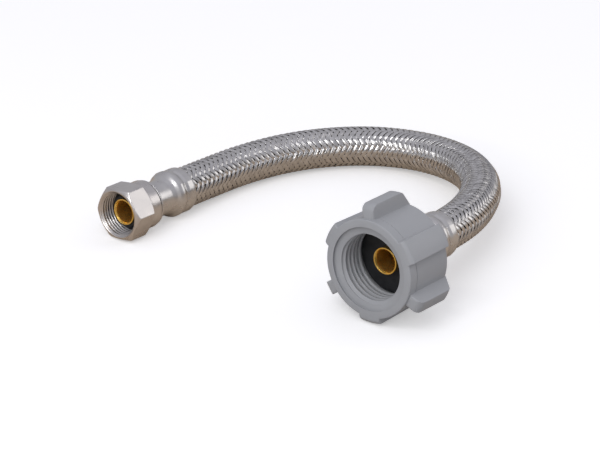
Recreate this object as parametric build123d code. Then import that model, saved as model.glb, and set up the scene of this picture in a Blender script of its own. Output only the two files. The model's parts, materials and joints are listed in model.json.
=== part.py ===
from build123d import *
import math
import os

# Braided toilet supply line, lying in a U on a table.
# Frame: +X from the hex nut to the wing nut, -Y the way both mouths face, +Z up, Z = 0 the table.
# Each end is drawn in its own frame: local Z is the depth behind the nut's mouth,
# local X is to the right and local -Y is up for someone looking into the mouth.

# ---- driving dimensions, mm and degrees ----
ORIGIN_SHIFT = (-51.505, -20.012, 0.0)  # brings the middle of the two ends over the origin

HOSE_RADIUS = 6.5
STEEL_BRAID_WALL = 0.6
OUTER_TUBE_WALL = 0.6
YARN_WALL = 0.4
INNER_TUBE_WALL = 1.0
HOSE_BORE = HOSE_RADIUS - STEEL_BRAID_WALL - OUTER_TUBE_WALL - YARN_WALL - INNER_TUBE_WALL

# Centre line between the two hose ends, before the origin shift.
# The first two and last two points lie on the axes of the two ends.
ROUTE = [
    (0.303, 21.672, 7.6),
    (0.562, 40.248, 6.691),
    (2.6, 58.8, 6.58),
    (9.2, 77.0, 6.55),
    (21.3, 91.8, 6.55),
    (35.5, 99.4, 6.75),
    (51.5, 99.4, 8.0),
    (66.7, 92.7, 9.85),
    (79.4, 80.4, 11.85),
    (88.1, 64.7, 13.6),
    (93.084, 46.529, 15.322),
    (93.279, 32.546, 15.981),
]
ARC_SHARE = 0.45  # of the shorter run, taken up by each corner's arc

# Stems, shared by both ends
WATERWAY_RADIUS = 3.3
LIP_RADIUS = 4.15
LIP_LENGTH = 0.5
NOSE_RADIUS = 3.85
STEM_BODY_RADIUS = 5.0
RUNNING_CLEARANCE = 0.08
BARB_COUNT = 4
BARB_DEPTH = 0.3

# Ferrules, as depths behind the nut's back face
FERRULE_START = 0.35
FERRULE_FLANGE_END = 1.15
FERRULE_FLANGE_RADIUS = 7.3
FERRULE_NECK_RADIUS = 5.7
FERRULE_NECK_END = 8.3
HOSE_END = 9.3
FERRULE_BAND_START = 10.3
FERRULE_GROOVE = 12.6
FERRULE_END = 16.5
FERRULE_BEAD_RADIUS = 7.4
FERRULE_BAND_RADIUS = 7.25
SHANK_END = 17.0

# Compression nut: 9/16-24 thread in a 5/8 inch hex
HEX_ACROSS_FLATS = 15.875
HEX_LENGTH = 8.3
HEX_NUT_LENGTH = 12.4
HEX_COLLAR_RADIUS = 7.6
HEX_CHAMFER = 1.0
HEX_FLAT_CLOCK = 35.0
HEX_THREAD_PITCH = 25.4 / 24
HEX_THREAD_MAJOR = 7.144
HEX_THREAD_MINOR = 6.68
HEX_REAR_CREST = 6.87
HEX_MOUTH_CHAMFER = 0.45
HEX_FIRST_GROOVE = 1.03
HEX_FULL_THREADS = 2
HEX_REAR_THREADS = 4
HEX_FULL_THREAD_END = 2.7
HEX_BACK_WALL = 8.7
HEX_STEM_LIP = 3.0
HEX_FLANGE = (7.4, 8.6, 6.2)  # front, back, radius

# Ballcock nut: 7/8-14 thread, moulded with three wings and three lobes
WING_NUT_LENGTH = 18.7
WING_COLLAR_RADIUS = 15.1
WING_COLLAR_LENGTH = 3.3
WING_GROOVE_RADIUS = 14.5
WING_WAIST_RADIUS = 14.9
WING_TIP_RADIUS = 19.3
WING_THICKNESS = 4.0
WING_FRONT = 1.1
WING_TIP_BACK = 15.4
WING_CORNER_ROUND = 2.0
WING_CLOCK = 96.5
LOBE_FRONT_RADIUS = 16.85
LOBE_BACK_RADIUS = 16.4
LOBE_HALF_ANGLE = 13.0
LOBE_CLOCK = 34.0
WING_THREAD_PITCH = 25.4 / 14
WING_THREAD_MAJOR = 11.11
WING_THREAD_MINOR = 10.13
WING_COUNTERBORE = (12.8, 1.35)  # radius, depth
WING_LEAD_IN_RADIUS = 11.0
WING_FIRST_GROOVE = 2.6
WING_FULL_THREADS = 3
WING_REAR_THREADS = 2
WING_THREAD_START = 1.62
WING_FULL_THREAD_END = 7.3
WING_REAR_CREST = 10.33
WING_THREAD_END = 10.7
WING_CHAMBER_RADIUS = 11.25
WING_BACK_WALL = 15.1
WING_STEM_LIP = 8.0
WING_FLANGE = (14.0, 15.0, 9.5)
WING_WASHER_FRONT = 11.2

# Where each mouth's centre lies, its heading in plan (0 is +Y, positive towards +X) and its fall
HEX_MOUTH = ((0.0, 0.0, 8.66), 0.8, 2.8)
WING_MOUTH = ((93.67, 4.58, 17.3), -0.8, 2.7)


def end_frame(mouth):
    """The frame of one end: Z into the hose, X to the right of someone looking into the mouth."""
    place, heading, fall = mouth
    heading, fall = math.radians(heading), math.radians(fall)
    into = Vector(
        math.sin(heading) * math.cos(fall),
        math.cos(heading) * math.cos(fall),
        -math.sin(fall),
    )
    right = into.cross(Vector(0, 0, 1)).normalized()
    return Plane(Vector(*place) + Vector(*ORIGIN_SHIFT), x_dir=right, z_dir=into)


def turned(*outline):
    """A solid turned about local Z from a closed outline of (radius, depth) points."""
    wire = Polyline(*[(r, 0, z) for r, z in outline], close=True)
    return revolve(make_face(wire), Axis.Z)


def at_clock(shape, angle):
    """Turns a shape drawn along local X to a clock angle, counterclockwise from the right."""
    return Rot(0, 0, -angle) * shape


def groove(centre, pitch, major, crest):
    """One V thread groove's outline points, from front to back."""
    half_root = pitch / 16
    half_top = half_root + (major - crest) * math.tan(math.radians(30))
    return [
        (crest, centre - half_top),
        (major, centre - half_root),
        (major, centre + half_root),
        (crest, centre + half_top),
    ]


def stem(lip, flange, back_face):
    """The brass insert: flared lip, nose, flange, body and barbed shank round one waterway."""
    flange_front, flange_back, flange_radius = flange
    shank_start = back_face + HOSE_END - 0.3
    shank_end = back_face + SHANK_END
    outline = [
        (WATERWAY_RADIUS + 0.35, lip),
        (LIP_RADIUS - 0.1, lip),
        (LIP_RADIUS, lip + 0.1),
        (LIP_RADIUS, lip + LIP_LENGTH),
        (NOSE_RADIUS, lip + LIP_LENGTH),
        (NOSE_RADIUS, flange_front),
        (flange_radius, flange_front),
        (flange_radius, flange_back),
        (STEM_BODY_RADIUS, flange_back),
        (STEM_BODY_RADIUS, shank_start),
        (HOSE_BORE, shank_start),
    ]
    barb = (shank_end - shank_start - 1.0) / BARB_COUNT
    for i in range(BARB_COUNT):
        crest = shank_start + 1.0 + i * barb
        outline += [(HOSE_BORE, crest), (HOSE_BORE - BARB_DEPTH, crest + 0.05)]
    outline += [
        (HOSE_BORE - BARB_DEPTH, shank_end),
        (WATERWAY_RADIUS, shank_end),
        (WATERWAY_RADIUS, lip + 1.0),
    ]
    return turned(*outline)


def ferrule(back_face):
    """The crimped sleeve: flange, neck, flare, bead, groove and the band over the hose's end."""
    profile = [
        (STEM_BODY_RADIUS, FERRULE_START),
        (FERRULE_FLANGE_RADIUS, FERRULE_START),
        (FERRULE_FLANGE_RADIUS, FERRULE_FLANGE_END),
        (FERRULE_NECK_RADIUS, FERRULE_FLANGE_END),
        (FERRULE_NECK_RADIUS, FERRULE_NECK_END),
        (FERRULE_BEAD_RADIUS - 0.2, FERRULE_BAND_START - 0.2),
        (FERRULE_BEAD_RADIUS, FERRULE_BAND_START + 0.4),
        (FERRULE_BEAD_RADIUS, FERRULE_GROOVE - 0.8),
        (FERRULE_BAND_RADIUS - 0.25, FERRULE_GROOVE),
        (FERRULE_BAND_RADIUS, FERRULE_GROOVE + 0.6),
        (FERRULE_BAND_RADIUS, FERRULE_END - 0.3),
        (FERRULE_BAND_RADIUS - 0.3, FERRULE_END),
        (HOSE_RADIUS, FERRULE_END),
        (HOSE_RADIUS, HOSE_END),
        (STEM_BODY_RADIUS, HOSE_END - 0.3),
    ]
    return turned(*[(r, back_face + z) for r, z in profile])


def hex_nut():
    """Hex body chamfered at both ends, round collar, and a bore with thread grooves."""
    body = extrude(RegularPolygon(HEX_ACROSS_FLATS / 2, 6, major_radius=False, rotation=30), HEX_LENGTH)
    corner = HEX_ACROSS_FLATS / math.sqrt(3)
    rim = HEX_ACROSS_FLATS / 2 - 0.25
    body &= turned(
        (0, 0),
        (rim, 0),
        (corner, HEX_CHAMFER),
        (corner, HEX_LENGTH - HEX_CHAMFER),
        (rim, HEX_LENGTH),
        (0, HEX_LENGTH),
    )
    body += turned(
        (0, HEX_LENGTH - 1),
        (HEX_COLLAR_RADIUS, HEX_LENGTH - 1),
        (HEX_COLLAR_RADIUS, HEX_NUT_LENGTH - 0.3),
        (HEX_COLLAR_RADIUS - 0.3, HEX_NUT_LENGTH),
        (0, HEX_NUT_LENGTH),
    )
    bore = [
        (0, -1),
        (HEX_THREAD_MAJOR + 0.15, -1),
        (HEX_THREAD_MAJOR + 0.15, 0),
        (HEX_THREAD_MINOR, HEX_MOUTH_CHAMFER),
    ]
    for i in range(HEX_FULL_THREADS + HEX_REAR_THREADS):
        if i == HEX_FULL_THREADS:
            bore += [(HEX_THREAD_MINOR, HEX_FULL_THREAD_END), (HEX_REAR_CREST, HEX_FULL_THREAD_END)]
        crest = HEX_THREAD_MINOR if i < HEX_FULL_THREADS else HEX_REAR_CREST
        bore += groove(HEX_FIRST_GROOVE + i * HEX_THREAD_PITCH, HEX_THREAD_PITCH, HEX_THREAD_MAJOR, crest)
    hole = STEM_BODY_RADIUS + RUNNING_CLEARANCE
    bore += [
        (HEX_REAR_CREST, HEX_BACK_WALL),
        (hole, HEX_BACK_WALL),
        (hole, HEX_NUT_LENGTH + 1),
        (0, HEX_NUT_LENGTH + 1),
    ]
    return at_clock(body - turned(*bore), HEX_FLAT_CLOCK)


def wing():
    """One wing as a plate in the local XZ plane, with its outer corners rounded."""
    side = Plane.XZ * Polyline(
        (WING_WAIST_RADIUS - 1.5, WING_FRONT),
        (WING_TIP_RADIUS, WING_FRONT),
        (WING_TIP_RADIUS, WING_TIP_BACK),
        (WING_WAIST_RADIUS, WING_NUT_LENGTH),
        (WING_WAIST_RADIUS - 1.5, WING_NUT_LENGTH),
        close=True,
    )
    plate = extrude(make_face(side), WING_THICKNESS / 2, both=True)
    tip_corners = plate.edges().filter_by(Axis.Y).sort_by(Axis.X)[-2:]
    return fillet(tip_corners, WING_CORNER_ROUND)


def lobe():
    """One low lobe: a sector of a ring that tapers towards the back."""
    ring = turned(
        (WING_WAIST_RADIUS - 1.5, 0),
        (LOBE_FRONT_RADIUS, 0),
        (LOBE_BACK_RADIUS, WING_NUT_LENGTH),
        (WING_WAIST_RADIUS - 1.5, WING_NUT_LENGTH),
    )
    reach = 30.0
    half_width = reach * math.tan(math.radians(LOBE_HALF_ANGLE))
    sector = extrude(make_face(Polyline((0, 0), (reach, -half_width), (reach, half_width), close=True)), 30)
    return ring & sector


def wing_nut():
    """Moulded ballcock nut: collar, waist, three wings, three lobes, and a threaded bore."""
    body = turned(
        (0, 0),
        (WING_COLLAR_RADIUS - 0.3, 0),
        (WING_COLLAR_RADIUS, 0.3),
        (WING_COLLAR_RADIUS, WING_COLLAR_LENGTH),
        (WING_GROOVE_RADIUS, WING_COLLAR_LENGTH + 0.15),
        (WING_WAIST_RADIUS, WING_COLLAR_LENGTH + 0.5),
        (WING_WAIST_RADIUS, WING_NUT_LENGTH - 0.5),
        (WING_WAIST_RADIUS - 0.5, WING_NUT_LENGTH),
        (0, WING_NUT_LENGTH),
    )
    for i in range(3):
        body += at_clock(wing(), WING_CLOCK + 120 * i)
        body += at_clock(lobe(), LOBE_CLOCK + 120 * i)
    counterbore, depth = WING_COUNTERBORE
    bore = [
        (0, -1),
        (counterbore, -1),
        (counterbore, depth),
        (WING_LEAD_IN_RADIUS, depth),
        (WING_THREAD_MINOR, WING_THREAD_START),
    ]
    for i in range(WING_FULL_THREADS + WING_REAR_THREADS):
        if i == WING_FULL_THREADS:
            bore += [(WING_THREAD_MINOR, WING_FULL_THREAD_END), (WING_REAR_CREST, WING_FULL_THREAD_END)]
        crest = WING_THREAD_MINOR if i < WING_FULL_THREADS else WING_REAR_CREST
        centre = WING_FIRST_GROOVE + i * WING_THREAD_PITCH
        bore += groove(centre, WING_THREAD_PITCH, WING_THREAD_MAJOR, crest)
    hole = STEM_BODY_RADIUS + RUNNING_CLEARANCE
    bore += [
        (WING_REAR_CREST, WING_THREAD_END),
        (WING_CHAMBER_RADIUS, WING_THREAD_END + 0.4),
        (WING_CHAMBER_RADIUS, WING_BACK_WALL),
        (hole, WING_BACK_WALL),
        (hole, WING_NUT_LENGTH + 1),
        (0, WING_NUT_LENGTH + 1),
    ]
    return body - turned(*bore)


def cone_washer():
    """Rubber cone that seals in the valve's compression seat."""
    front = HEX_STEM_LIP + LIP_LENGTH
    back = HEX_FLANGE[0]
    return turned(
        (NOSE_RADIUS, front),
        (4.9, front),
        (6.3, front + 1.7),
        (6.3, back),
        (NOSE_RADIUS, back),
    )


def flat_washer():
    """Thick rubber washer that seals on the fill valve's shank."""
    front = WING_WASHER_FRONT
    back = WING_FLANGE[0]
    return turned(
        (NOSE_RADIUS, front),
        (10.7, front),
        (10.9, front + 0.2),
        (10.9, back),
        (NOSE_RADIUS, back),
    )


def hose_path():
    """Straight runs joined by tangent arcs, each arc as large as its two runs allow."""
    points = [Vector(*p) + Vector(*ORIGIN_SHIFT) for p in ROUTE]
    runs = [b - a for a, b in zip(points, points[1:])]
    radii = []
    for first, second in zip(runs, runs[1:]):
        half_turn = math.radians(first.get_angle(second)) / 2
        radii.append(ARC_SHARE * min(first.length, second.length) / math.tan(half_turn))
    print("arc radii, mm:", [round(r, 1) for r in radii])
    return FilletPolyline(*points, radius=radii), runs[0]


def hose_layer(path, start, inner, outer):
    """One tube of the hose, swept along the path."""
    section = Plane(path @ 0, z_dir=start) * (Circle(outer) - Circle(inner))
    tube = sweep(section, path)
    expected = math.pi * (outer**2 - inner**2) * path.length
    print(f"tube {inner:.1f} to {outer:.1f} mm: volume {tube.volume:.0f}, section x length {expected:.0f} mm3")
    return tube


def hose_nodes():
    """The four layers of the hose, from the water outwards."""
    path, start = hose_path()
    print(f"hose centre line {path.length:.1f} mm")
    layers = [
        ("hose_inner_tube", INNER_TUBE_WALL),
        ("hose_yarn_reinforcement", YARN_WALL),
        ("hose_outer_tube", OUTER_TUBE_WALL),
        ("hose_steel_braid", STEEL_BRAID_WALL),
    ]
    nodes, inner = {}, HOSE_BORE
    for name, wall in layers:
        nodes[name] = hose_layer(path, start, inner, inner + wall)
        inner += wall
    return nodes


def end_nodes():
    """The pieces of both ends, each moved to its place."""
    drawn = {
        HEX_MOUTH: {
            "hex_coupling_nut": hex_nut(),
            "hex_end_cone_washer": cone_washer(),
            "hex_end_stem": stem(HEX_STEM_LIP, HEX_FLANGE, HEX_NUT_LENGTH),
            "hex_end_ferrule": ferrule(HEX_NUT_LENGTH),
        },
        WING_MOUTH: {
            "wing_coupling_nut": wing_nut(),
            "wing_end_flat_washer": flat_washer(),
            "wing_end_stem": stem(WING_STEM_LIP, WING_FLANGE, WING_NUT_LENGTH),
            "wing_end_ferrule": ferrule(WING_NUT_LENGTH),
        },
    }
    placed = {}
    for mouth, pieces in drawn.items():
        where = end_frame(mouth)
        for name, shape in pieces.items():
            placed[name] = where.location * shape
        axis = -where.z_dir
        print("mouth at", [round(c, 3) for c in where.origin], "facing", [round(c, 6) for c in axis])
    return placed


os.makedirs("parts", exist_ok=True)
nodes = end_nodes()
ends = Compound(list(nodes.values())).bounding_box()
print("ends' box centre", round(ends.center().X, 3), round(ends.center().Y, 3), "bottom", round(ends.min.Z, 3))
nodes |= hose_nodes()
for name, shape in nodes.items():
    export_step(shape, f"parts/{name}.step")
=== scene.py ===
"""The looks of a braided supply line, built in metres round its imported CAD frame."""

import json
import math

import bpy
import numpy as np
from mathutils import Matrix, Vector


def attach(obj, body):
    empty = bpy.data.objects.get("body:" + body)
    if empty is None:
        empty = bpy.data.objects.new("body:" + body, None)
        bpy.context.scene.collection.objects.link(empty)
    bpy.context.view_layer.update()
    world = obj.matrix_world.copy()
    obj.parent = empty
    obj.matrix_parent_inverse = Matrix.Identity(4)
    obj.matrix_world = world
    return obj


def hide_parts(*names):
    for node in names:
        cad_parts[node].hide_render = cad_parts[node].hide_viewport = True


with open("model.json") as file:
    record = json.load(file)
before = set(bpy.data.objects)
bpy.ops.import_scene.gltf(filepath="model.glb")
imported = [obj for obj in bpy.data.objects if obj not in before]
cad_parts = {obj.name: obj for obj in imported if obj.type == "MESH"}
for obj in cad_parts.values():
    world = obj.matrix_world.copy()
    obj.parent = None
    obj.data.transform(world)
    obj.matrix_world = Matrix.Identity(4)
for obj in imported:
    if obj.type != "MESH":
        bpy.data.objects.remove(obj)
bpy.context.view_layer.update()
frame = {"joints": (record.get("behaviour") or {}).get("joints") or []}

MM = 0.001

# ---- camera ----
LENS_MM = 176.6
VIEW_AZIMUTH = 39.14
VIEW_ELEVATION = 25.3
VIEW_DISTANCE = 0.8903
VIEW_TARGET = Vector((-0.00169, 0.00746, 0.010))

# ---- floor ----
FLOOR_PALE = (0.93, 0.93, 0.93)  # as the camera sees it
FLOOR_GLOW = 0.36
FLOOR_WARM = (0.62, 0.50, 0.38)  # as polished metal sees it
FLOOR_GRAY = (0.50, 0.50, 0.50)  # as everything else sees it

# ---- hose: the route of part.py ----
ORIGIN_SHIFT = np.array((-51.505, -20.012, 0.0))
ROUTE = np.array([
    (0.303, 21.672, 7.6),
    (0.562, 40.248, 6.691),
    (2.6, 58.8, 6.58),
    (9.2, 77.0, 6.55),
    (21.3, 91.8, 6.55),
    (35.5, 99.4, 6.75),
    (51.5, 99.4, 8.0),
    (66.7, 92.7, 9.85),
    (79.4, 80.4, 11.85),
    (88.1, 64.7, 13.6),
    (93.084, 46.529, 15.322),
    (93.279, 32.546, 15.981),
])
CORE_RADIUS = 5.8

# ---- braid, mm ----
CARRIERS = 12  # each way round
BRAID_LEAD = 24.5
BRAID_MIDDLE = 6.14
BRAID_WAVE = 0.21
WIRES = 6
WIRE_PITCH = 0.214
WIRE_HALF = 0.08
STRAND_CROWN = 0.13
BRAID_STATIONS = 620
BRAID_GROUPS = 4

# ---- both ends: radii, and depths behind the mouth, in mm; clocks in degrees ----
INCH = 25.4
STEM_HOLE_RADIUS = 5.08  # in each nut's back wall
SLIVER = 0.001  # a step in depth lies this far in front of its first row

HEX_PIVOT_DEPTH = 10.5
HEX_NUT_LENGTH = 12.4
HEX_LENGTH = 8.3  # the hexagon alone, without the collar
HEX_HALF_FLATS = 7.9375
HEX_FLAT_CLOCK = 35.0
HEX_COLLAR_RADIUS = 7.6
HEX_RIM_RADIUS = 7.62  # where the front chamfer starts
HEX_REAR_RIM_RADIUS = 7.45  # where the rear chamfer ends
HEX_CHAMFER_SLOPE = 1.55
HEX_THREAD_PITCH = INCH / 24
HEX_CREST_RADIUS = 6.68
HEX_ROOT_RADIUS = 7.144
HEX_THREAD_END = 6.5
HEX_BACK_WALL = 8.7
HEX_STEM_LIP = 3.0
HEX_FLANGE = (7.4, 8.6, 6.2)  # front, back, radius

WING_PIVOT_DEPTH = 16.0
WING_NUT_LENGTH = 18.7
WING_COLLAR_RADIUS = 15.1
WING_GROOVE_DEPTH = 3.5  # how far back the line behind the collar lies
LOBE_RADIUS = 16.85
LOBE_TAPER = 0.45
LOBE_CLOCK = 34.0
WING_CLOCK = 96.5
WING_TIP_RADIUS = 19.3
WING_TIP_BACK = 15.4
WING_FRONT = 1.1
WING_HALF_THICKNESS = 2.05
WING_THREAD_PITCH = INCH / 14
WING_CREST_RADIUS = 10.13
WING_REAR_RELIEF = 0.2
WING_ROOT_RADIUS = 11.15
WING_FIRST_TURN = 0.93  # shifts the helix along the bore
WING_CHAMBER_RADIUS = 11.25
WING_COUNTERBORE = (12.8, 1.35)  # radius, depth
WING_LEAD_IN_RADIUS = 11.0
WING_THREAD_END = 11.0
WING_BACK_WALL = 15.1
WING_STEM_LIP = 8.0
WING_FLANGE = (14.0, 15.0, 9.5)
WING_WASHER = (11.2, 13.98)  # front, back


def make_camera():
    """A long lens in front of both mouths, from the right and a little above."""
    data = bpy.data.cameras.new("camera")
    data.lens = LENS_MM
    data.sensor_width = 36.0
    camera = bpy.data.objects.new("camera", data)
    bpy.context.scene.collection.objects.link(camera)
    azimuth, elevation = math.radians(VIEW_AZIMUTH), math.radians(VIEW_ELEVATION)
    back = Vector((
        math.sin(azimuth) * math.cos(elevation),
        -math.cos(azimuth) * math.cos(elevation),
        math.sin(elevation),
    ))
    camera.location = VIEW_TARGET + back * VIEW_DISTANCE
    camera.rotation_euler = (-back).to_track_quat("-Z", "Y").to_euler()
    camera.data.clip_start = 0.05
    camera.data.clip_end = 10.0
    bpy.context.scene.camera = camera


# ---- materials ----


def new_material(name, color, roughness, metallic=0.0):
    """A Principled material whose even numbers sit on the shader's own sockets."""
    material = bpy.data.materials.new(name)
    material.use_nodes = True
    shader = material.node_tree.nodes["Principled BSDF"]
    shader.inputs["Base Color"].default_value = (*color, 1.0)
    shader.inputs["Roughness"].default_value = roughness
    shader.inputs["Metallic"].default_value = metallic
    return material, shader


def add_node(material, kind, values=(), **settings):
    """Adds a node, sets its properties, and sets or links its inputs."""
    tree = material.node_tree
    node = tree.nodes.new(kind)
    for key, value in settings.items():
        setattr(node, key, value)
    for socket, value in dict(values).items():
        if isinstance(value, bpy.types.NodeSocket):
            tree.links.new(value, node.inputs[socket])
        else:
            node.inputs[socket].default_value = value
    return node


def noise(material, scale, detail=3.0, stretch=(1, 1, 1)):
    """Noise in the object's own coordinates, as a 0 to 1 value."""
    where = add_node(material, "ShaderNodeTexCoord").outputs["Object"]
    mapped = add_node(material, "ShaderNodeMapping", {"Vector": where, "Scale": stretch})
    values = {"Vector": mapped.outputs[0], "Scale": scale, "Detail": detail}
    return add_node(material, "ShaderNodeTexNoise", values).outputs[0]


def vary_color(material, shader, value, low, high):
    """Lets the colour wander between two close tones."""
    ramp = add_node(material, "ShaderNodeValToRGB", {"Fac": value})
    ramp.color_ramp.elements[0].position = 0.3
    ramp.color_ramp.elements[0].color = (*low, 1.0)
    ramp.color_ramp.elements[1].position = 0.7
    ramp.color_ramp.elements[1].color = (*high, 1.0)
    material.node_tree.links.new(ramp.outputs[0], shader.inputs["Base Color"])


def vary_roughness(material, shader, value, low, high):
    """Lets the roughness wander between two values."""
    values = {"Value": value, "From Min": 0.3, "From Max": 0.7, "To Min": low, "To Max": high}
    spread = add_node(material, "ShaderNodeMapRange", values)
    material.node_tree.links.new(spread.outputs[0], shader.inputs["Roughness"])


def add_bump(material, shader, heights, distance):
    """Stacks bumps, each a height value with its strength, of one distance in metres."""
    normal = None
    for height, strength in heights:
        values = {"Height": height, "Strength": strength, "Distance": distance}
        if normal is not None:
            values["Normal"] = normal
        normal = add_node(material, "ShaderNodeBump", values).outputs[0]
    material.node_tree.links.new(normal, shader.inputs["Normal"])


def plated_metal():
    """Nickel over turned brass: satin, with faint tool lines round the axis and warm thin spots."""
    material, shader = new_material("nickel_plating", (0.66, 0.64, 0.62), 0.24, 1.0)
    cloud = noise(material, 260, 4.0)
    lines = noise(material, 900, 2.0, (0.04, 0.04, 6.0))
    vary_color(material, shader, cloud, (0.64, 0.615, 0.60), (0.72, 0.70, 0.685))
    vary_roughness(material, shader, cloud, 0.25, 0.37)
    add_bump(material, shader, [(lines, 0.22), (noise(material, 2600, 2.0), 0.10)], 0.00004)
    return material


def brass():
    """Machined yellow brass, a little deeper where it is tarnished."""
    material, shader = new_material("machined_brass", (0.80, 0.53, 0.17), 0.2, 0.85)
    cloud = noise(material, 420, 3.0)
    lines = noise(material, 1200, 2.0, (0.04, 0.04, 7.0))
    vary_color(material, shader, cloud, (0.86, 0.50, 0.08), (0.95, 0.66, 0.20))
    vary_roughness(material, shader, cloud, 0.14, 0.26)
    add_bump(material, shader, [(lines, 0.2)], 0.00004)
    return material


def stainless():
    """Drawn and crimped stainless sheet, with fine rubbing marks along and round it."""
    material, shader = new_material("drawn_stainless", (0.66, 0.65, 0.64), 0.22, 1.0)
    cloud = noise(material, 300, 4.0)
    around = noise(material, 1000, 2.0, (0.05, 0.05, 5.0))
    along = noise(material, 1500, 2.0, (3.0, 3.0, 0.15))
    vary_color(material, shader, cloud, (0.61, 0.60, 0.595), (0.71, 0.70, 0.69))
    vary_roughness(material, shader, cloud, 0.24, 0.36)
    add_bump(material, shader, [(around, 0.2), (along, 0.12)], 0.00004)
    return material


def braid_wire(name, lift):
    """Bright stainless wire; lift sets one bundle of strands a shade off the next."""
    material, shader = new_material(name, (0.66, 0.65, 0.64), 0.2, 1.0)
    low = tuple(c + lift for c in (0.56, 0.55, 0.54))
    high = tuple(c + lift for c in (0.72, 0.71, 0.70))
    vary_color(material, shader, noise(material, 700, 3.0), low, high)
    vary_roughness(material, shader, noise(material, 1500, 2.0), 0.15, 0.27)
    return material


def gray_plastic():
    """Moulded gray nylon: matt, with faint flow marks and a fine eggshell texture."""
    material, shader = new_material("gray_nylon", (0.41, 0.42, 0.435), 0.42)
    shader.inputs["Specular IOR Level"].default_value = 0.45
    flow = noise(material, 90, 4.0, (1, 1, 0.4))
    vary_color(material, shader, flow, (0.395, 0.405, 0.422), (0.430, 0.440, 0.457))
    vary_roughness(material, shader, noise(material, 400, 3.0), 0.36, 0.50)
    grain = [(noise(material, 3500, 2.0), 0.15), (noise(material, 160, 3.0), 0.12)]
    add_bump(material, shader, grain, 0.00012)
    return material


def rubber():
    """Moulded black rubber with a soft sheen and a dusty grain."""
    material, shader = new_material("black_rubber", (0.016, 0.017, 0.019), 0.5)
    vary_color(material, shader, noise(material, 500, 4.0), (0.012, 0.013, 0.015), (0.026, 0.027, 0.030))
    vary_roughness(material, shader, noise(material, 350, 3.0), 0.42, 0.62)
    add_bump(material, shader, [(noise(material, 2600, 3.0), 0.3)], 0.0001)
    return material


def vinyl():
    """The hose's own tube, dark and slightly glossy between the wires."""
    material, shader = new_material("dark_vinyl", (0.045, 0.042, 0.040), 0.45)
    vary_color(material, shader, noise(material, 300, 3.0), (0.035, 0.033, 0.032), (0.06, 0.056, 0.052))
    add_bump(material, shader, [(noise(material, 1800, 2.0), 0.2)], 0.0001)
    return material


def yarn():
    """White polyester thread wound round the inner tube."""
    material, shader = new_material("polyester_yarn", (0.72, 0.71, 0.67), 0.75)
    vary_color(material, shader, noise(material, 1200, 3.0), (0.62, 0.61, 0.57), (0.80, 0.79, 0.75))
    add_bump(material, shader, [(noise(material, 2500, 3.0), 0.5)], 0.0001)
    return material


# ---- mesh building ----


def add_mesh(name, points, faces, material, place=None, sharp=35.0):
    """Makes a mesh object, turned right side out, smooth but for edges sharper than sharp degrees."""
    mesh = bpy.data.meshes.new(name)
    points, faces = np.asarray(points, float), np.asarray(faces, int)
    a, b, c = (points[faces[:, i]] for i in range(3))
    if np.einsum("ij,ij->", a, np.cross(b, c)) < 0:
        faces = faces[:, ::-1]
    mesh.from_pydata(points.tolist(), [], faces.tolist())
    mesh.materials.append(material)
    mesh.polygons.foreach_set("use_smooth", [True] * len(mesh.polygons))
    mesh.set_sharp_from_angle(angle=math.radians(sharp))
    piece = bpy.data.objects.new(name, mesh)
    bpy.context.scene.collection.objects.link(piece)
    if place is not None:
        piece.matrix_world = place
    return piece


def ring_faces(rows, columns, first=0, closed_rows=True):
    """Quads over a grid that closes along its columns, and along its rows if asked."""
    last = rows if closed_rows else rows - 1
    j, i = np.meshgrid(np.arange(last), np.arange(columns), indexing="ij")
    j1, i1 = (j + 1) % rows, (i + 1) % columns
    quad = [j * columns + i, j * columns + i1, j1 * columns + i1, j1 * columns + i]
    return np.stack(quad, axis=-1).reshape(-1, 4) + first


def polar_mesh(name, radius, depth, angles, material, place, sharp=35.0):
    """A ring-shaped solid from radius[row, column] and depth[row, column] in mm. Angle 0 is to
    the right and 90 up, for someone looking into the mouth."""
    x = radius * np.cos(angles)
    y = -radius * np.sin(angles)
    points = np.stack([x, y, np.broadcast_to(depth, radius.shape)], axis=-1).reshape(-1, 3) * MM
    return add_mesh(name, points, ring_faces(*radius.shape), material, place, sharp)


def softened(outline, size, steps=4):
    """The closed outline with each corner turned into a small curve."""
    points = [np.array(p, float) for p in outline]
    out = []
    for before, corner, after in zip(points[-1:] + points[:-1], points, points[1:] + points[:1]):
        a, b = before - corner, after - corner
        reach = min(size, 0.45 * np.linalg.norm(a), 0.45 * np.linalg.norm(b))
        start = corner + a / np.linalg.norm(a) * reach
        end = corner + b / np.linalg.norm(b) * reach
        for t in np.linspace(0, 1, steps + 1):
            out.append((1 - t) ** 2 * start + 2 * t * (1 - t) * corner + t**2 * end)
    return np.array(out)


def finely(outline, step):
    """The closed outline again, with no stretch longer than step."""
    out = []
    for a, b in zip(outline, np.roll(outline, -1, axis=0)):
        parts = max(1, math.ceil(np.linalg.norm(b - a) / step))
        out += [a + (b - a) * k / parts for k in range(parts)]
    return np.array(out)


def turned(name, outline, material, place, size=0.12, columns=144, step=1.0, shape=None):
    """A turned piece from its closed outline of (radius, depth) points; shape may press it."""
    line = finely(softened(outline, size), step)
    angles = np.linspace(0, 2 * math.pi, columns, endpoint=False)
    radius = np.repeat(line[:, :1], columns, axis=1)
    depth = np.repeat(line[:, 1:], columns, axis=1)
    if shape is not None:
        radius = shape(radius, depth, angles)
    return polar_mesh(name, radius, depth, angles, material, place)


def smooth_min(a, b, k):
    h = np.clip(0.5 + 0.5 * (b - a) / k, 0, 1)
    return b * (1 - h) + a * h - k * h * (1 - h)


def smooth_max(a, b, k):
    return -smooth_min(-a, -b, k)


def smooth_step(low, high, x):
    t = np.clip((x - low) / (high - low), 0, 1)
    return t * t * (3 - 2 * t)


def rounding(distance, radius):
    """How far a rounded edge lies inside its corner, at that distance from the face."""
    t = np.clip(1 - distance / radius, 0, 1)
    return radius * (1 - np.sqrt(1 - t * t))


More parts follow.
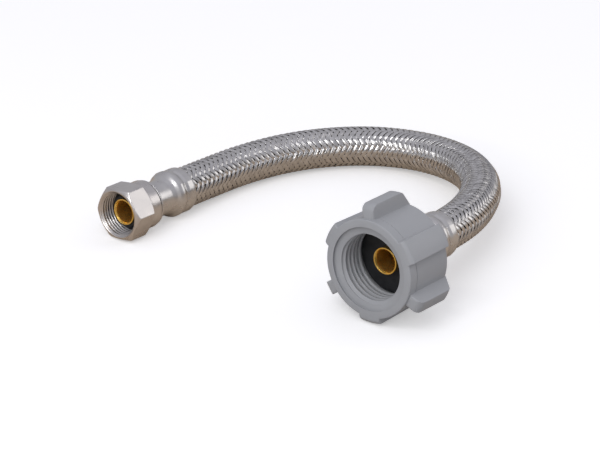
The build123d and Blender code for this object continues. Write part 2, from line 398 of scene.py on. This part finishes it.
def off_center(angles, clock):
    """Signed angle from the nearest of three features at clock, clock + 120 and clock + 240."""
    third = 2 * math.pi / 3
    return (angles - math.radians(clock) + third / 2) % third - third / 2


def thread(depth, angles, pitch, crest, root):
    """Radius of an internal right-hand 60 degree thread."""
    phase = (depth / pitch + angles / (2 * math.pi) + 0.5) % 1.0 - 0.5
    away = np.abs(phase) * pitch
    flank = root - (away - pitch / 16) / math.tan(math.radians(30))
    return smooth_max(smooth_min(flank, root + 0 * flank, 0.08), crest + 0 * flank, 0.08)


def spaced(*stretches):
    """Depths from stretches of (start, end, count). Only the last has a row at its end."""
    parts = [np.linspace(a, b, n, endpoint=False) for a, b, n in stretches]
    return np.concatenate(parts + [[stretches[-1][1]]])


def nut_mesh(name, outer, bore, outer_depths, bore_depths, angles, material, place):
    """A nut from its outer radius and its bore radius as functions of depth and angle."""
    out_s = outer_depths[:, None] + 0 * angles
    in_s = bore_depths[::-1, None] + 0 * angles
    radius = np.vstack([outer(out_s, angles), bore(in_s, angles)])
    depth = np.vstack([out_s, in_s])
    return polar_mesh(name, radius, depth, angles, material, place, sharp=32.0)


def end_place(joint, pivot_depth):
    """The frame of one end: local Z into the hose, local X to the right for someone looking in."""
    pivot, outwards = Vector(joint["pos_m"]), Vector(joint["axis"])
    into = -outwards.normalized()
    right = into.cross(Vector((0, 0, 1))).normalized()
    down = into.cross(right)
    origin = pivot - into * pivot_depth * MM
    return Matrix((
        (right.x, down.x, into.x, origin.x),
        (right.y, down.y, into.y, origin.y),
        (right.z, down.z, into.z, origin.z),
        (0, 0, 0, 1),
    ))


# ---- hose ----


def make_hose_core(material):
    """The outer vinyl tube, as one smooth curve that the route's points steer."""
    curve = bpy.data.curves.new("hose_outer_tube", "CURVE")
    curve.dimensions = "3D"
    curve.bevel_depth = CORE_RADIUS * MM
    curve.bevel_resolution = 10
    curve.use_fill_caps = True
    spline = curve.splines.new("NURBS")
    route = (ROUTE + ORIGIN_SHIFT) * MM
    spline.points.add(len(route) - 1)
    for point, place in zip(spline.points, route):
        point.co = (*place, 1.0)
    spline.order_u = 3
    spline.use_endpoint_u = True
    spline.resolution_u = 36
    curve.materials.append(material)
    piece = bpy.data.objects.new("hose_outer_tube_curve", curve)
    bpy.context.scene.collection.objects.link(piece)
    return piece


def centre_line(piece):
    """The points of the curve's own line, and the distance along it of each, in mm."""
    bare = bpy.data.objects.new("bare_line", piece.data.copy())
    bare.data.bevel_depth = 0
    bare.data.use_fill_caps = False
    mesh = bpy.data.meshes.new_from_object(bare)
    line = np.array([v.co for v in mesh.vertices], float) / MM
    bpy.data.meshes.remove(mesh)
    bpy.data.curves.remove(bare.data)
    along = np.concatenate([[0], np.cumsum(np.linalg.norm(np.diff(line, axis=0), axis=1))])
    return line, along


class HoseLine:
    """Points and directions at any distance along the hose's centre line, in mm."""

    def __init__(self, piece):
        line, along = centre_line(piece)
        self.length = along[-1]
        self.at = np.linspace(0, self.length, 800)
        self.points = np.stack([np.interp(self.at, along, line[:, k]) for k in range(3)], axis=1)
        tangent = np.gradient(self.points, self.at, axis=0)
        kernel = np.ones(9) / 9
        padded = np.pad(tangent, ((4, 4), (0, 0)), mode="edge")
        tangent = np.stack([np.convolve(padded[:, k], kernel, "valid") for k in range(3)], axis=1)
        self.tangent = tangent / np.linalg.norm(tangent, axis=1, keepdims=True)
        side = np.cross(self.tangent, (0, 0, 1))
        self.side = side / np.linalg.norm(side, axis=1, keepdims=True)
        self.up = np.cross(self.side, self.tangent)

    def read(self, values, distance):
        return np.stack([np.interp(distance, self.at, values[:, k]) for k in range(3)], axis=-1)

    def surface(self, distance, angle, radius):
        """A point on the hose, and the direction that its surface faces there."""
        side, up = self.read(self.side, distance), self.read(self.up, distance)
        facing = side * np.cos(angle)[..., None] + up * np.sin(angle)[..., None]
        return self.read(self.points, distance) + facing * np.asarray(radius)[..., None], facing


def hose_tube(name, hose, inner, outer, material, ridge=0.0):
    """A hollow layer of the hose; ridge winds shallow threads round its outside."""
    columns, rows = 48, 200
    angles = np.linspace(0, 2 * math.pi, columns, endpoint=False)
    distance = np.linspace(0, hose.length, rows)
    s, a = np.meshgrid(distance, angles, indexing="ij")
    wave = ridge * np.sin(12 * a + 2 * math.pi * s / 3.0) if ridge else 0 * a
    outside = hose.surface(s, a, outer - ridge + wave)[0]
    inside = hose.surface(s[::-1], a, inner + 0 * a)[0]
    points = np.concatenate([outside, inside]).reshape(-1, 3) * MM
    return add_mesh(name, points, ring_faces(2 * rows, columns), material)


def strand_section():
    """The outline of one flat strand of side-by-side wires, as (across, out) in mm."""
    half = WIRES * WIRE_PITCH / 2
    across = np.linspace(-half, half, 2 * WIRES + 1)
    crown = STRAND_CROWN * (0.35 - (across / half) ** 2)
    ridges = np.where(np.arange(len(across)) % 2 == 1, WIRE_HALF, 0.25 * WIRE_HALF)
    top = np.stack([across, ridges + crown], axis=1)
    under = -WIRE_HALF - STRAND_CROWN
    return np.vstack([top, [(0.9 * half, under), (-0.9 * half, under)]])


def strand(hose, carrier, way, rng):
    """One strand of the braid, over two and under two, as a grid of points."""
    s = np.linspace(0.0, hose.length, BRAID_STATIONS)
    wobble = rng.uniform(0.3, 1.0) * 0.05 * np.sin(s / rng.uniform(7, 15) + rng.uniform(0, 6.28))
    angle = 2 * math.pi * (way * s / BRAID_LEAD + carrier / CARRIERS) + wobble / BRAID_MIDDLE
    crossing = 2 * CARRIERS * s / BRAID_LEAD
    phase = crossing + 2 * carrier - 0.5 if way > 0 else 2 * carrier - crossing - 2.5
    wave = np.tanh(0.9 * np.cos(math.pi * phase / 2)) / math.tanh(0.9)
    radius = BRAID_MIDDLE + BRAID_WAVE * wave
    centre, facing = hose.surface(s, angle, radius)
    along = np.gradient(centre, axis=0)
    along /= np.linalg.norm(along, axis=1, keepdims=True)
    out = facing - along * np.einsum("ij,ij->i", facing, along)[:, None]
    out /= np.linalg.norm(out, axis=1, keepdims=True)
    across = np.cross(along, out)
    section = strand_section()
    uneven = 1 + 0.16 * (rng.random(len(section)) - 0.5)
    lift = section[:, 1] * uneven
    return (
        centre[:, None]
        + across[:, None] * section[None, :, :1]
        + out[:, None] * lift[None, :, None]
    )


def make_braid(hose, materials):
    """All strands, in groups small enough to export whole."""
    rng = np.random.default_rng(7)
    carriers = [(k, way) for way in (1, -1) for k in range(CARRIERS)]
    pieces = []
    per_group = len(carriers) // BRAID_GROUPS
    for g in range(BRAID_GROUPS):
        points, faces = [], []
        for k, way in carriers[g * per_group:(g + 1) * per_group]:
            grid = strand(hose, k, way, rng)
            rows, columns = grid.shape[:2]
            first = sum(len(p) for p in points)
            points.append(grid.reshape(-1, 3))
            sides = ring_faces(rows, columns, first, closed_rows=False)
            faces += sides.tolist() if way > 0 else sides[:, ::-1].tolist()
            last = first + (rows - 1) * columns
            faces += [
                [first + i for i in reversed(range(columns))],
                [last + i for i in range(columns)],
            ]
        name, material = f"braid_strands_{g + 1}", materials[g % len(materials)]
        pieces.append(add_braid_piece(name, np.vstack(points) * MM, faces, material))
    return pieces


def add_braid_piece(name, points, faces, material):
    """A mesh of strands. Their sides are quads, and each end is one face of many corners."""
    mesh = bpy.data.meshes.new(name)
    mesh.from_pydata(points.tolist(), [], faces)
    mesh.materials.append(material)
    mesh.polygons.foreach_set("use_smooth", [True] * len(mesh.polygons))
    mesh.set_sharp_from_angle(angle=math.radians(60))
    piece = bpy.data.objects.new(name, mesh)
    bpy.context.scene.collection.objects.link(piece)
    return piece


# ---- hexagon end ----


def hex_nut(place, material):
    """Compression nut: chamfered hexagon, round collar and a fine right-hand thread."""
    angles = np.linspace(0, 2 * math.pi, 420, endpoint=False)
    clock = math.radians(HEX_FLAT_CLOCK)
    sixth = math.pi / 3

    def outer(s, a):
        facets = [np.clip(np.cos(a - clock - k * sixth), 0, 1) / HEX_HALF_FLATS for k in range(6)]
        six = sum(f**70 for f in facets) ** (-1 / 70)
        front = HEX_RIM_RADIUS + HEX_CHAMFER_SLOPE * s - rounding(s, 0.22)
        back = HEX_REAR_RIM_RADIUS + HEX_CHAMFER_SLOPE * np.maximum(HEX_LENGTH - s, 0)
        body = smooth_min(smooth_min(six, front, 0.16), back, 0.16)
        neck = HEX_COLLAR_RADIUS - rounding(HEX_NUT_LENGTH - s, 0.5)
        return np.where(s < HEX_LENGTH, np.maximum(body, HEX_REAR_RIM_RADIUS), neck)

    def bore(s, a):
        turns = thread(s, a, HEX_THREAD_PITCH, HEX_CREST_RADIUS, HEX_ROOT_RADIUS)
        cut = np.where(s < HEX_THREAD_END, turns, 6.95)
        mouth = 7.34 - 1.1 * s
        return np.where(s < HEX_BACK_WALL - SLIVER, smooth_max(cut, mouth, 0.08), STEM_HOLE_RADIUS)

    outer_depths = spaced(
        (0, 0.25, 5), (0.25, 1.4, 10), (1.4, 6.9, 6), (6.9, HEX_LENGTH - 0.01, 11),
        (HEX_LENGTH, 11.8, 4), (11.8, HEX_NUT_LENGTH, 8),
    )
    bore_depths = spaced(
        (0, HEX_THREAD_END - SLIVER, 92),
        (HEX_THREAD_END, HEX_BACK_WALL - 2 * SLIVER, 2),
        (HEX_BACK_WALL, HEX_NUT_LENGTH, 2),
    )
    return nut_mesh("hex_nut_body", outer, bore, outer_depths, bore_depths, angles, material, place)


def ferrule(name, back, place, material):
    """Crimped sleeve: thin flange, drawn neck, bead, crimp groove and a band over the braid."""
    outline = [
        (5.03, 0.35), (7.3, 0.35), (7.3, 0.95), (6.2, 1.1), (5.8, 1.5), (5.72, 4.5), (5.78, 7.2),
        (6.25, 8.5), (7.05, 9.5), (7.38, 10.4), (7.36, 11.2), (7.02, 12.0), (6.82, 12.5), (6.98, 13.0),
        (7.2, 13.6), (7.2, 15.6), (7.02, 16.3), (6.8, 16.5), (6.5, 16.5), (6.5, 9.4), (5.03, 8.9),
    ]

    def pressed(radius, depth, angles):
        s = depth - back
        outside = radius > 6.55
        jaw = np.cos(8 * angles + 0.4)
        groove = np.exp(-(((s - 12.45) / 0.75) ** 2))
        band = smooth_step(9.6, 10.6, s) * smooth_step(16.6, 15.8, s)
        ridge = np.clip(jaw - 0.86, 0, 1) / 0.14
        return radius + outside * (0.10 * groove * ridge + 0.045 * band * (ridge - 0.5 * (1 - jaw * jaw)))

    moved = [(r, s + back) for r, s in outline]
    return turned(name, moved, material, place, 0.25, 192, 0.5, pressed)


def stem(name, lip, flange, back, place, material):
    """Brass insert: flared lip, nose, flange, body, barbed shank and the waterway through it."""
    flange_front, flange_back, flange_radius = flange
    start, end = back + 9.0, back + 17.0
    outline = [
        (3.72, lip), (4.08, lip), (4.15, lip + 0.12), (4.15, lip + 0.42), (3.85, lip + 0.6),
        (3.85, flange_front), (flange_radius, flange_front), (flange_radius, flange_back),
        (5.0, flange_back), (5.0, start), (3.9, start),
    ]
    for k in range(4):
        crest = start + 1.0 + 1.75 * k
        outline += [(3.9, crest), (3.6, crest + 0.08)]
    outline += [(3.6, end), (3.3, end), (3.3, lip + 1.1), (3.42, lip + 0.5)]
    return turned(name, outline, material, place, 0.07, 128, 1.0)


def cone_washer(place, material):
    """Rubber cone in front of the hexagon end's flange."""
    outline = [(3.87, 3.65), (4.85, 3.65), (6.28, 5.3), (6.28, 7.38), (3.87, 7.38)]
    return turned("hex_cone_washer_body", outline, material, place, 0.25, 128, 0.8)


def flat_washer(place, material):
    """Rubber ring in front of the winged end's flange."""
    front, back = WING_WASHER
    outline = [(3.87, front), (10.7, front), (10.9, front + 0.2), (10.9, back), (3.87, back)]
    return turned("wing_flat_washer_body", outline, material, place, 0.35, 160, 0.8)


# ---- winged end ----


def crowded_angles(count):
    """Angles round the nut, closer together at the sides of its wings and lobes."""
    fine = np.linspace(0, 2 * math.pi, 7200, endpoint=False)
    wing = np.abs(np.abs(off_center(fine, WING_CLOCK)) - math.radians(6.8))
    lobe = np.abs(np.abs(off_center(fine, LOBE_CLOCK)) - math.radians(13.2))
    near = np.minimum(wing, lobe)
    density = 1 + 4.0 * np.exp(-((near / math.radians(1.9)) ** 2))
    total = np.concatenate([[0], np.cumsum(density)])
    even = np.linspace(0, total[-1], count, endpoint=False)
    return np.interp(even, total, np.append(fine, 2 * math.pi))


def wing_nut(place, material):
    """Ballcock nut: collar, waist, three lobes, three wings and a coarse right-hand thread."""
    angles = crowded_angles(520)
    length = WING_NUT_LENGTH

    def outer(s, a):
        line = 0.5 * np.exp(-(((s - WING_GROOVE_DEPTH) / 0.17) ** 2))
        step = WING_COLLAR_RADIUS - 0.2 * smooth_step(3.3, 3.7, s) - line
        waist = step - rounding(s, 0.45) - rounding(length - s, 0.8)
        lobe_front = LOBE_RADIUS - 0.95 + s - rounding(s, 0.4)
        lobe_side = LOBE_RADIUS - LOBE_TAPER * s / length
        lobe_top = smooth_min(lobe_side, lobe_front, 0.2) - rounding(length - s, 0.8)
        from_lobe = np.abs(off_center(a, LOBE_CLOCK))
        inside = smooth_step(math.radians(14.3), math.radians(12.3), from_lobe)
        body = waist + (lobe_top - waist) * inside
        front = s - WING_FRONT
        tip = WING_TIP_RADIUS - rounding(front, 2.4)
        slope = WING_TIP_RADIUS - (s - WING_TIP_BACK) * 1.35
        plate_top = smooth_min(tip, slope, 0.9)
        half = WING_HALF_THICKNESS - rounding(front, 0.6)
        side = half / np.maximum(np.abs(np.sin(off_center(a, WING_CLOCK))), 0.01)
        plate = smooth_min(plate_top, side, 0.45)
        plate = np.where(front >= 0, plate, 0)
        return np.where(plate > body - 1.5, smooth_max(body, plate, 0.4), body)

    counterbore_radius, counterbore_depth = WING_COUNTERBORE

    def bore(s, a):
        crest = WING_CREST_RADIUS + WING_REAR_RELIEF * smooth_step(7.2, 7.5, s)
        turns = thread(s - WING_FIRST_TURN, a, WING_THREAD_PITCH, crest, WING_ROOT_RADIUS)
        fade = smooth_step(WING_THREAD_END - 0.05, WING_THREAD_END - 0.4, s)
        cut = WING_CHAMBER_RADIUS + (turns - WING_CHAMBER_RADIUS) * fade
        undercut = 0.45 * smooth_step(0.1, 0.4, s)
        counterbore = np.where(s < counterbore_depth, counterbore_radius + undercut, 0)
        cone = WING_LEAD_IN_RADIUS - 3.22 * (s - counterbore_depth)
        lead = np.where(s >= counterbore_depth, cone, 0)
        wall = np.maximum(smooth_max(cut, lead, 0.06), counterbore)
        return np.where(s < WING_BACK_WALL - SLIVER, wall, STEM_HOLE_RADIUS)

    outer_depths = spaced(
        (0, 0.5, 6), (0.5, WING_FRONT - 2 * SLIVER, 3), (WING_FRONT, 2.1, 9), (2.1, 3.2, 5),
        (3.2, 3.9, 10), (3.9, 14.6, 12), (14.6, 17.0, 9), (17.0, 17.9, 3), (17.9, WING_NUT_LENGTH, 8),
    )
    bore_depths = spaced(
        (0, 0.5, 5), (0.5, counterbore_depth - SLIVER, 2), (counterbore_depth, WING_THREAD_END, 108),
        (WING_THREAD_END, WING_BACK_WALL - 2 * SLIVER, 4), (WING_BACK_WALL, WING_NUT_LENGTH, 2),
    )
    return nut_mesh("wing_nut_body", outer, bore, outer_depths, bore_depths, angles, material, place)


# ---- studio ----


def area_light(name, azimuth, elevation, distance, size, power, color=(1, 1, 1)):
    """A soft rectangular light that faces the part; azimuth 0 is in front, 90 to the right."""
    data = bpy.data.lights.new(name, "AREA")
    data.shape = "RECTANGLE"
    data.size, data.size_y = size
    data.energy = power
    data.color = color
    light = bpy.data.objects.new(name, data)
    a, e = math.radians(azimuth), math.radians(elevation)
    way = Vector((math.sin(a) * math.cos(e), -math.cos(a) * math.cos(e), math.sin(e)))
    light.location = VIEW_TARGET + way * distance
    light.rotation_euler = (-way).to_track_quat("-Z", "Y").to_euler()
    bpy.context.scene.collection.objects.link(light)


def make_floor():
    """A plain pale floor that glows a little for the camera. In metal it shows as a warm table."""
    material, shader = new_material("pale_floor", FLOOR_PALE, 0.85)
    path = add_node(material, "ShaderNodeLightPath")
    glossy, seen = path.outputs["Is Glossy Ray"], path.outputs["Is Camera Ray"]
    table = add_node(material, "ShaderNodeMix", {"Factor": glossy}, data_type="RGBA")
    table.inputs[6].default_value = (*FLOOR_GRAY, 1.0)
    table.inputs[7].default_value = (*FLOOR_WARM, 1.0)
    pale = add_node(material, "ShaderNodeMix", {"Factor": seen, 6: table.outputs[2]}, data_type="RGBA")
    pale.inputs[7].default_value = (*FLOOR_PALE, 1.0)
    material.node_tree.links.new(pale.outputs[2], shader.inputs["Base Color"])
    glow = add_node(material, "ShaderNodeMath", {0: seen, 1: FLOOR_GLOW}, operation="MULTIPLY")
    shader.inputs["Emission Color"].default_value = (1.0, 1.0, 1.0, 1.0)
    material.node_tree.links.new(glow.outputs[0], shader.inputs["Emission Strength"])
    size = 6.0
    mesh = bpy.data.meshes.new("floor")
    corners = [(-size, -size, 0), (size, -size, 0), (size, size, 0), (-size, size, 0)]
    mesh.from_pydata(corners, [], [(0, 1, 2, 3)])
    mesh.materials.append(material)
    floor = bpy.data.objects.new("floor", mesh)
    bpy.context.scene.collection.objects.link(floor)


def make_world():
    """A soft gray studio, cooler overhead and a little darker between there and the horizon."""
    world = bpy.data.worlds.new("studio")
    world.use_nodes = True
    bpy.context.scene.world = world
    nodes, links = world.node_tree.nodes, world.node_tree.links
    where = nodes.new("ShaderNodeTexCoord")
    split = nodes.new("ShaderNodeSeparateXYZ")
    ramp = nodes.new("ShaderNodeValToRGB")
    links.new(where.outputs["Generated"], split.inputs[0])
    links.new(split.outputs["Z"], ramp.inputs[0])
    elements = ramp.color_ramp.elements
    elements[0].position, elements[0].color = 0.0, (0.55, 0.55, 0.57, 1)
    elements[1].position, elements[1].color = 1.0, (0.60, 0.60, 0.66, 1)
    middle = elements.new(0.35)
    middle.color = (0.46, 0.455, 0.49, 1)
    background = nodes["Background"]
    links.new(ramp.outputs[0], background.inputs["Color"])
    background.inputs["Strength"].default_value = 0.9


def make_lights():
    """A softbox with a bright strip at its low and high edges, and a light from the right."""
    front = VIEW_AZIMUTH - 26
    area_light("softbox", front, 42, 0.95, (0.62, 0.58), 2.1)
    area_light("low_strip", front, 25, 0.94, (0.5, 0.05), 0.6, (1.0, 0.985, 0.96))
    area_light("high_strip", front, 57, 0.94, (0.5, 0.05), 0.6)
    area_light("back_light", VIEW_AZIMUTH + 104, 21, 0.9, (0.5, 0.4), 0.62, (1.0, 0.97, 0.94))


# ---- everything ----

bpy.context.scene.view_settings.view_transform = "Standard"
make_camera()
vinyl_material = vinyl()
core = make_hose_core(vinyl_material)
hose = HoseLine(core)

hex_place = end_place(frame["joints"][0], HEX_PIVOT_DEPTH)
wing_place = end_place(frame["joints"][1], WING_PIVOT_DEPTH)
nickel_material, brass_material = plated_metal(), brass()
stainless_material, rubber_material = stainless(), rubber()

fixed_pieces = {
    "hex_end_stem": stem(
        "hex_stem_body", HEX_STEM_LIP, HEX_FLANGE, HEX_NUT_LENGTH, hex_place, brass_material
    ),
    "hex_end_cone_washer": cone_washer(hex_place, rubber_material),
    "hex_end_ferrule": ferrule("hex_ferrule_body", HEX_NUT_LENGTH, hex_place, stainless_material),
    "wing_end_stem": stem(
        "wing_stem_body", WING_STEM_LIP, WING_FLANGE, WING_NUT_LENGTH, wing_place, brass_material
    ),
    "wing_end_flat_washer": flat_washer(wing_place, rubber_material),
    "wing_end_ferrule": ferrule("wing_ferrule_body", WING_NUT_LENGTH, wing_place, stainless_material),
    "hose_inner_tube": hose_tube("hose_inner_tube_body", hose, 3.95, 4.85, vinyl_material),
    "hose_yarn_reinforcement": hose_tube("hose_yarn_body", hose, 4.87, 5.35, yarn(), 0.08),
    "hose_outer_tube": core,
}
for node, piece in fixed_pieces.items():
    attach(piece, "hose_line")
    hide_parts(node)

wires = [braid_wire("braid_wire_a", 0.0), braid_wire("braid_wire_b", 0.02)]
strands = make_braid(hose, wires)
for piece in strands:
    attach(piece, "hose_line")
    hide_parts("hose_steel_braid")

moving_pieces = {
    "hex_coupling_nut": (hex_nut(hex_place, nickel_material), "hex_nut"),
    "wing_coupling_nut": (wing_nut(wing_place, gray_plastic()), "wing_nut"),
}
for node, (piece, body) in moving_pieces.items():
    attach(piece, body)
    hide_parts(node)

make_floor()
make_world()
make_lights()
